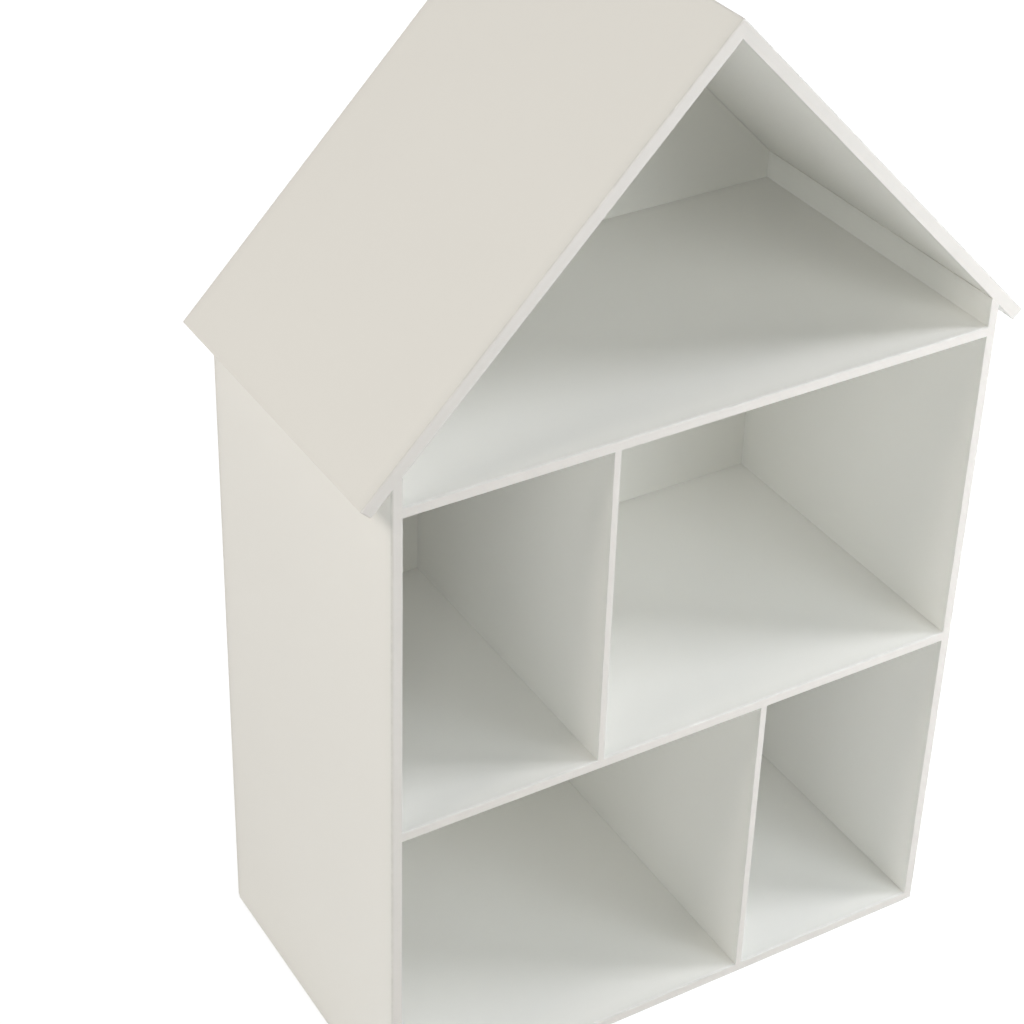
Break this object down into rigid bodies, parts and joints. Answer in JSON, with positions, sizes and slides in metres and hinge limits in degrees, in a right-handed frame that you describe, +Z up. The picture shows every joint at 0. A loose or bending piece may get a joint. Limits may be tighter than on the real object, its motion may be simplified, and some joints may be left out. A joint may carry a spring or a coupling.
{
  "type": "bookcase",
  "caption": "House shaped bookcase for a child's room: open front, staggered rooms, an attic shelf under a pitched roof, and a closed back.",
  "frame": {"origin": "centre of the footprint across the eaves and from the front edge to the roof's rear edge, at floor level under the felt pads", "axes": "+Z up, +X to the right as seen from the open front, +Y from the open front to the back panel"},
  "size_m": [0.6, 0.303, 0.9418],
  "materials": {
    "painted_board": "MDF board with a satin off-white paint",
    "painted_back": "thin MDF panel with the same off-white paint",
    "bare_wood": "unfinished beech",
    "nail_steel": "zinc plated",
    "felt": "pressed grey felt"
  },
  "bodies": {
    "root": {"base_board": "painted_board", "left_side": "painted_board", "right_side": "painted_board", "middle_shelf": "painted_board", "attic_floor": "painted_board", "upper_divider": "painted_board", "lower_divider": "painted_board", "left_roof_board": "painted_board", "right_roof_board": "painted_board", "ridge_block": "painted_board", "back_panel": "painted_back", "ridge_tongue": "bare_wood", "base_dowels": "bare_wood", "middle_shelf_dowels": "bare_wood", "attic_floor_dowels": "bare_wood", "left_roof_dowels": "bare_wood", "right_roof_dowels": "bare_wood", "back_nails": "nail_steel", "felt_pads": "felt"}
  },
  "joints": []
}
